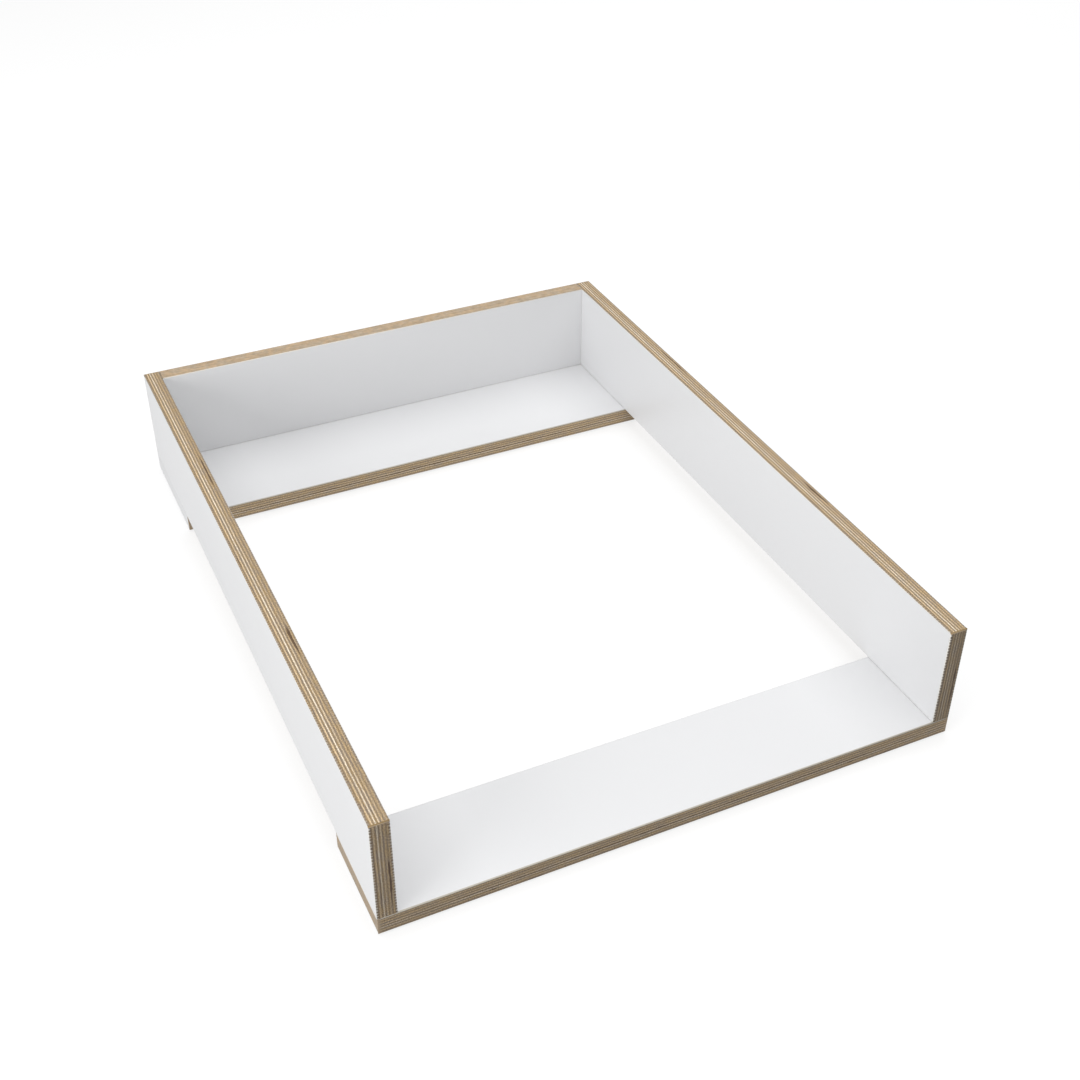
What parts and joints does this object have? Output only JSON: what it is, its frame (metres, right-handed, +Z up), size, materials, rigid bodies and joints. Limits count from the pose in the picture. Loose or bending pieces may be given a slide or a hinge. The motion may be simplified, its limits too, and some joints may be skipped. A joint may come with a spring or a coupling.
{
  "type": "changing top frame",
  "caption": "Low open tray of white boards with plywood-look edges that holds a changing mat on a chest; open at the front and in the middle of its floor.",
  "frame": {"origin": "on the resting surface under the middle of the frame: the bottom centre of its box", "axes": "+Y towards the back wall, +X to the right seen from the open front, +Z up"},
  "size_m": [0.57, 0.768, 0.1286],
  "materials": {
    "white_laminate": "satin",
    "plywood_look_edge": "matte",
    "white_edge": "satin",
    "zinc_plated_steel": "satin",
    "die_cast_zinc": "satin",
    "beech": "matte",
    "white_plastic": "satin",
    "grey_rubber": "matte"
  },
  "bodies": {
    "root": {"left_side_wall": "white_laminate", "left_side_wall_band_top": "plywood_look_edge", "left_side_wall_band_bottom": "plywood_look_edge", "left_side_wall_band_front": "plywood_look_edge", "left_side_wall_band_back": "plywood_look_edge", "right_side_wall": "white_laminate", "right_side_wall_band_top": "plywood_look_edge", "right_side_wall_band_bottom": "plywood_look_edge", "right_side_wall_band_front": "plywood_look_edge", "right_side_wall_band_back": "plywood_look_edge", "back_wall": "white_laminate", "back_wall_band_top": "plywood_look_edge", "front_board": "white_laminate", "front_board_band_front": "plywood_look_edge", "front_board_band_back": "plywood_look_edge", "front_board_band_left": "plywood_look_edge", "front_board_band_right": "plywood_look_edge", "back_board": "white_laminate", "back_board_band_front": "plywood_look_edge", "back_board_band_back": "white_edge", "back_board_band_left": "white_edge", "back_board_band_right": "white_edge", "front_board_screw_1": "zinc_plated_steel", "front_board_screw_2": "zinc_plated_steel", "front_board_screw_3": "zinc_plated_steel", "front_board_screw_4": "zinc_plated_steel", "back_board_screw_1": "zinc_plated_steel", "back_board_screw_2": "zinc_plated_steel", "back_board_screw_3": "zinc_plated_steel", "back_board_screw_4": "zinc_plated_steel", "back_wall_screw_1": "zinc_plated_steel", "back_wall_screw_2": "zinc_plated_steel", "back_wall_screw_3": "zinc_plated_steel", "left_dowel_1": "beech", "left_dowel_2": "beech", "left_cam": "die_cast_zinc", "left_cam_bolt": "zinc_plated_steel", "left_cam_cap": "white_plastic", "right_dowel_1": "beech", "right_dowel_2": "beech", "right_cam": "die_cast_zinc", "right_cam_bolt": "zinc_plated_steel", "right_cam_cap": "white_plastic", "anti_slip_pad_front_left": "grey_rubber", "anti_slip_pad_front_right": "grey_rubber", "anti_slip_pad_back_left": "grey_rubber", "anti_slip_pad_back_right": "grey_rubber"}
  },
  "joints": []
}
